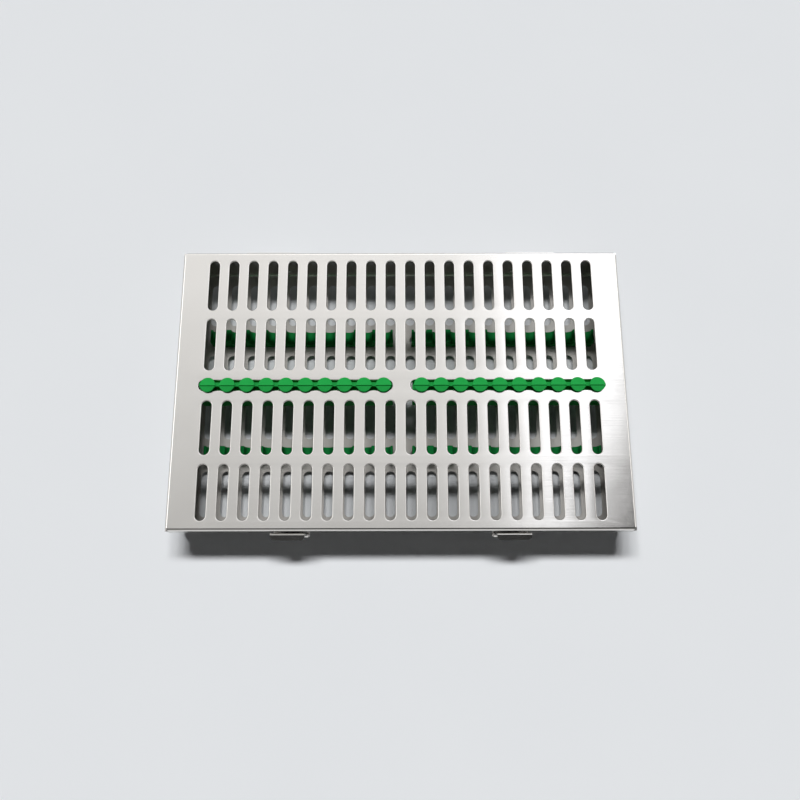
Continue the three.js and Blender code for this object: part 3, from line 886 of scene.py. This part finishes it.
# Facing (1 is up, -1 is down), tone and metallic share of a pan's inside, which is rougher and
# painted darker as painted shade
TRAY_SHADE_AND_MATT = (1.0, (0.6, 0.575, 0.545, 1), 0.3)
# painted shade: the lid's underside is painted much darker than its top
LID_SHADE_AND_MATT = (-1.0, (0.3, 0.29, 0.28, 1), 1.0)
PIN_MOTTLE = (900, 3.0, 0.6)
PIN_TONES = ((0.6, 0.585, 0.57, 1), (0.74, 0.725, 0.71, 1))
PIN_ROUGHNESS = (0.16, 0.34)
PIN_BUMP = (0.15, 0.0001)
SILICONE_CLOUDS = (130, 3.0, 0.6)
SILICONE_ROUGHNESS = (0.5, 0.62)
SILICONE_SPECULAR = 0.08
HEAD_TONES = ((0.015, 0.31, 0.057, 1), (0.023, 0.395, 0.078, 1))
# painted shade: the combs' copy of the silicone, darker than the heads' for the shade inside the
# tray
COMB_PAINTED_SHADE_TONES = ((0.008, 0.19, 0.042, 1), (0.012, 0.245, 0.056, 1))
DUST = (2400, 2.0, 0.6)
DUST_SPAN = (0.62, 0.8)
DUST_SHARE = 0.12
DUST_TONE = (0.05, 0.36, 0.11, 1)
DUST_BUMP = (0.25, 0.0001)


class Nodes:
    """A short way to add and link shader nodes."""

    def __init__(self, tree):
        self.tree = tree
        tree.nodes.clear()

    def add(self, kind, settings=None, **sockets):
        """A node; its sockets are named with _ for a space, or numbered i0, i1 and so on."""
        node = self.tree.nodes.new(kind)
        for key, value in (settings or {}).items():
            setattr(node, key, value)
        for key, value in sockets.items():
            numbered = key[0] == "i" and key[1:].isdigit()
            socket = node.inputs[int(key[1:]) if numbered else key.replace("_", " ")]
            if isinstance(value, bpy.types.NodeSocket):
                self.tree.links.new(value, socket)
            else:
                socket.default_value = value
        return node

    def math(self, operation, a, b=0.0, clamp=False):
        settings = {"operation": operation, "use_clamp": clamp}
        return self.add("ShaderNodeMath", settings, i0=a, i1=b).outputs[0]

    def plus(self, a, b):
        return self.math("ADD", a, b)

    def times(self, a, b):
        return self.math("MULTIPLY", a, b)

    def noise(self, vector, scale, detail, roughness):
        sockets = {"Vector": vector, "Scale": scale, "Detail": detail, "Roughness": roughness}
        return self.add("ShaderNodeTexNoise", **sockets).outputs["Fac"]

    def ramp(self, value, low, high, to_low, to_high, kind="LINEAR"):
        """A step from to_low at low to to_high at high."""
        spans = {"From_Min": low, "From_Max": high, "To_Min": to_low, "To_Max": to_high}
        settings = {"interpolation_type": kind}
        return self.add("ShaderNodeMapRange", settings, Value=value, **spans).outputs["Result"]

    def smooth(self, value, low, high, to_low=0.0, to_high=1.0):
        """A soft step from to_low at low to to_high at high, which may lie below low."""
        if low > high:
            low, high, to_low, to_high = high, low, to_high, to_low
        return self.ramp(value, low, high, to_low, to_high, "SMOOTHSTEP")

    def blend(self, factor, first, second):
        sockets = {"i0": factor, "i1": first.outputs[0], "i2": second.outputs[0]}
        return self.add("ShaderNodeMixShader", **sockets)

    def mix(self, factor, a, b):
        return self.add("ShaderNodeMix", {"data_type": "RGBA"}, i0=factor, i6=a, i7=b).outputs[2]


def new_material(look):
    made = bpy.data.materials.new(look + "_look")
    made.use_nodes = True
    return Nodes(made.node_tree)


def surface(nodes, shader):
    nodes.add("ShaderNodeOutputMaterial", Surface=shader.outputs[0])


def principled(nodes, bumps, **sockets):
    """Ends a material; its bumps are (height, (strength, distance)), each over the one before."""
    for height, (strength, distance) in bumps:
        normal = {"Normal": sockets["Normal"]} if "Normal" in sockets else {}
        bump = {"Height": height, "Strength": strength, "Distance": distance, **normal}
        sockets["Normal"] = nodes.add("ShaderNodeBump", **bump).outputs[0]
    surface(nodes, nodes.add("ShaderNodeBsdfPrincipled", **sockets))


def grain_vector(nodes, place):
    """Coordinates stretched along the rolled grain: along X, or up and down on the side walls."""
    normal = nodes.add("ShaderNodeNewGeometry").outputs["Normal"]
    parts = nodes.add("ShaderNodeSeparateXYZ", Vector=normal)
    facing = nodes.math("ABSOLUTE", parts.outputs["X"])
    on_side = nodes.math("GREATER_THAN", facing, SIDE_FACING)
    flat, wall = (
        nodes.add("ShaderNodeMapping", Vector=place, Scale=scale).outputs[0]
        for scale in ((GRAIN_STRETCH, 1, 1), (1, 1, GRAIN_STRETCH))
    )
    settings = {"data_type": "VECTOR"}
    return nodes.add("ShaderNodeMix", settings, i0=on_side, i4=flat, i5=wall).outputs[1]


def steel_material(look, shade_and_matt=None):
    """Polished sheet with rolled grain; a pan is rougher inside and painted darker there as
    painted shade, on the side that the last argument names.
    """
    nodes = new_material(look)
    place = nodes.add("ShaderNodeTexCoord").outputs["Object"]
    streaks = nodes.noise(grain_vector(nodes, place), *STREAKS)
    smudges = nodes.noise(place, *SMUDGES)
    tone = nodes.mix(nodes.noise(place, *CLOUDS), *STEEL_TONES)
    tone = nodes.mix(nodes.ramp(streaks, *NOISE_SPAN, 0.0, STREAK_SHARE), tone, STREAK_TONE)
    rough = nodes.ramp(streaks, *NOISE_SPAN, *STEEL_ROUGHNESS)
    rough = nodes.plus(rough, nodes.ramp(smudges, *SMUDGE_SPAN, 0.0, SMUDGE_ROUGHNESS))
    metal = 1.0
    if shade_and_matt:
        side, painted_shade_tone, dull_metal = shade_and_matt
        normal = nodes.add("ShaderNodeTexCoord").outputs["Normal"]
        up = nodes.add("ShaderNodeSeparateXYZ", Vector=normal).outputs["Z"]
        inside = nodes.smooth(nodes.times(up, side), *INWARD_FACING)
        # painted shade: inward faces are mixed toward a darker tone for the shade inside the pan
        tone = nodes.mix(nodes.times(inside, PAINTED_SHADE_SHARE), tone, painted_shade_tone)
        rough = nodes.plus(rough, nodes.times(inside, DULL_ROUGHNESS))
        metal = nodes.ramp(inside, 0.0, 1.0, 1.0, dull_metal)
    bumps = ((nodes.noise(place, *WAVES), WAVE_BUMP), (streaks, STREAK_BUMP))
    principled(nodes, bumps, Base_Color=tone, Metallic=metal, Roughness=rough)


def pin_material():
    nodes = new_material("pin_steel")
    place = nodes.add("ShaderNodeTexCoord").outputs["Object"]
    mottle = nodes.noise(place, *PIN_MOTTLE)
    tone = nodes.mix(mottle, *PIN_TONES)
    rough = nodes.ramp(mottle, *NOISE_SPAN, *PIN_ROUGHNESS)
    bumps = ((mottle, PIN_BUMP),)
    principled(nodes, bumps, Base_Color=tone, Metallic=1.0, Roughness=rough)


def silicone_material(look, dark, light):
    """Matt moulded silicone, clouded between two tones and faintly dusty."""
    nodes = new_material(look)
    place = nodes.add("ShaderNodeTexCoord").outputs["Object"]
    clouds = nodes.noise(place, *SILICONE_CLOUDS)
    dust = nodes.noise(place, *DUST)
    tone = nodes.mix(clouds, dark, light)
    tone = nodes.mix(nodes.ramp(dust, *DUST_SPAN, 0.0, DUST_SHARE), tone, DUST_TONE)
    principled(
        nodes,
        ((dust, DUST_BUMP),),
        Base_Color=tone,
        Roughness=nodes.ramp(clouds, *NOISE_SPAN, *SILICONE_ROUGHNESS),
        Specular_IOR_Level=SILICONE_SPECULAR,
    )


# Studio
FLOOR_SIZE = 6.0
FLOOR_TONES = ((0.82, 0.84, 0.865, 1), (0.845, 0.865, 0.885, 1))
FLOOR_MOTTLE = (9, 3.0, 0.5)
KEY_SLOPE = 0.46
KEY_SPREAD = (-0.3, -0.14, 0.02, 0.18)
KEY_LEVEL = 0.84
KEY_ANGLE = math.radians(8)
FILL_HORIZON = 0.17
FILL_ZENITH = 0.03
FILL_HEIGHTS = (0.1, 0.7)
BACKDROP = 0.9
# What polished steel reflects, by direction: x and y over z, or x, y and z of the way itself
LEAST_HEIGHT = 0.2
OVERHEAD = (0.57, 1.06)
OVERHEAD_SPAN = (0.0, 0.5)
FRONT_FALL = (-0.02, -0.3)
FRONT_SHARE = 0.08
PANEL_SLOPE = 2.2
PANEL_LEFT = (0.08, 0.25)
PANEL_FRONT = (-0.49, -0.4)
PANEL_GAIN = 0.94
PANEL_TINT = (0.97, 0.99, 1.04, 1)
CORNER_FALL = (-0.44, -0.6)
CORNER_SIDE = (0.22, 0.3)
CORNER_DROP = -0.68
CENTRE_ACROSS = (-0.26, -0.12)
CENTRE_ALONG = (0.06, 0.2)
CENTRE_GAIN = 0.09
SIDE_START = (0.4, 0.52)
SIDE_GAIN = 1.7
BACK_START = (0.6, 0.75)
BACK_GAIN = 1.8
RIGHT_END = (0.68, 0.8)
RIGHT_SHARE = 0.1
LOW_LEVEL = 0.7
LOW_SPAN = (0.52, 0.72)


def build_floor():
    size = FLOOR_SIZE / 2
    mesh = bpy.data.meshes.new("floor")
    corners = [(-size, -size, 0), (size, -size, 0), (size, size, 0), (-size, size, 0)]
    mesh.from_pydata(corners, [], [[0, 1, 2, 3]])
    nodes = new_material("floor")
    place = nodes.add("ShaderNodeTexCoord").outputs["Object"]
    tone = nodes.mix(nodes.noise(place, *FLOOR_MOTTLE), *FLOOR_TONES)
    surface(nodes, nodes.add("ShaderNodeBsdfDiffuse", Color=tone))
    mesh.materials.append(material_of("floor"))
    link("floor", mesh)


def gloss_level(nodes, x, y, z):
    """Brightness and tint that polished steel reflects: bright behind, to both sides and from a
    tilted panel at the right, dark in front."""
    high = nodes.math("MAXIMUM", z, LEAST_HEIGHT)
    across = nodes.math("DIVIDE", x, high)
    along = nodes.math("DIVIDE", y, high)
    slant = nodes.math("SUBTRACT", along, nodes.times(across, PANEL_SLOPE))
    panel = nodes.times(nodes.smooth(across, *PANEL_LEFT), nodes.smooth(slant, *PANEL_FRONT))
    corner = nodes.times(nodes.smooth(slant, *CORNER_FALL), nodes.smooth(across, *CORNER_SIDE))
    centre = nodes.times(nodes.smooth(across, *CENTRE_ACROSS), nodes.smooth(along, *CENTRE_ALONG))
    level = nodes.ramp(along, *OVERHEAD_SPAN, *OVERHEAD)
    for area, gain in ((panel, PANEL_GAIN), (corner, CORNER_DROP), (centre, CENTRE_GAIN)):
        level = nodes.plus(level, nodes.times(area, gain))
    aside = nodes.math("ABSOLUTE", x)
    level = nodes.plus(level, nodes.smooth(aside, *SIDE_START, 0.0, SIDE_GAIN))
    level = nodes.plus(level, nodes.smooth(y, *BACK_START, 0.0, BACK_GAIN))
    level = nodes.times(level, nodes.smooth(along, *FRONT_FALL, 1.0, FRONT_SHARE))
    level = nodes.times(level, nodes.smooth(x, *RIGHT_END, 1.0, RIGHT_SHARE))
    level = nodes.math("SUBTRACT", level, LOW_LEVEL)
    level = nodes.plus(nodes.times(level, nodes.smooth(z, *LOW_SPAN)), LOW_LEVEL)
    return level, nodes.mix(panel, WHITE, PANEL_TINT)


def build_world():
    """Gloss sees a studio, rough surfaces a dim sky that is brighter at the horizon."""
    world = bpy.data.worlds.new("studio")
    bpy.context.scene.world = world
    world.use_nodes = True
    nodes = Nodes(world.node_tree)
    way = nodes.add("ShaderNodeTexCoord").outputs["Generated"]
    parts = nodes.add("ShaderNodeSeparateXYZ", Vector=way)
    x, y, z = (parts.outputs[k] for k in "XYZ")
    level, tint = gloss_level(nodes, x, y, z)
    glossy = nodes.add("ShaderNodeBackground", Color=tint, Strength=level)
    fill = nodes.smooth(z, *FILL_HEIGHTS, FILL_HORIZON, FILL_ZENITH)
    plain = nodes.add("ShaderNodeBackground", Color=WHITE, Strength=fill)
    seen = nodes.add("ShaderNodeBackground", Color=WHITE, Strength=BACKDROP)
    path = nodes.add("ShaderNodeLightPath").outputs
    mirrored = nodes.math("SUBTRACT", path["Is Glossy Ray"], path["Diffuse Depth"], clamp=True)
    lit = nodes.blend(mirrored, plain, glossy)
    whole = nodes.blend(path["Is Camera Ray"], lit, seen)
    nodes.add("ShaderNodeOutputWorld", Surface=whole.outputs[0])


def build_key():
    """A strip of lamps behind and above, soft from side to side."""
    for number, aside in enumerate(KEY_SPREAD):
        name = f"key_{number}"
        way = Vector((aside, KEY_SLOPE, 1)).normalized()
        lamp = bpy.data.lights.new(name, "SUN")
        lamp.energy = KEY_LEVEL * math.pi / way.z / len(KEY_SPREAD)
        lamp.angle = KEY_ANGLE
        key = link(name, lamp)
        key.rotation_euler = way.to_track_quat("Z", "Y").to_euler()
        key.visible_glossy = False


def build_camera():
    data = bpy.data.cameras.new("camera")
    data.sensor_width = SENSOR_MM
    data.lens = FOCAL_PX / IMAGE_PX * SENSOR_MM
    camera = link("camera", data)
    turn = (
        Matrix.Rotation(CAMERA_PAN, 4, "Y")
        @ Matrix.Rotation(CAMERA_TILT, 4, "X")
        @ Matrix.Rotation(CAMERA_ROLL, 4, "Z")
    )
    camera.matrix_world = Matrix.Translation(CAMERA_PLACE) @ turn
    bpy.context.scene.camera = camera


build_camera()
build_world()
build_key()
build_floor()
steel_material("steel")
# tray and lid copies of the steel, with painted shade on their insides
steel_material("tray_steel", TRAY_SHADE_AND_MATT)
steel_material("lid_steel", LID_SHADE_AND_MATT)
pin_material()
silicone_material("silicone", *HEAD_TONES)
# the same silicone, painted darker as shade for the combs
silicone_material("tray_silicone_shaded", *COMB_PAINTED_SHADE_TONES)
build_lid()
build_tray()
for side_name in ("left", "right"):
    build_strip("lid_strip_" + side_name, 1)
    build_strip("base_strip_front_" + side_name, -1)
    build_strip("base_strip_back_" + side_name, -1)
    build_hinge(side_name)
    build_latch(side_name)
    for kind in ("hinge_pin_", "latch_pin_"):
        build_pin(kind + side_name)
    for kind in ("hinge_lid_rivet_", "hinge_base_rivet_", "latch_rivet_"):
        for number in ("_1", "_2"):
            build_rivet(kind + side_name + number)

bpy.context.scene.view_settings.view_transform = "Standard"
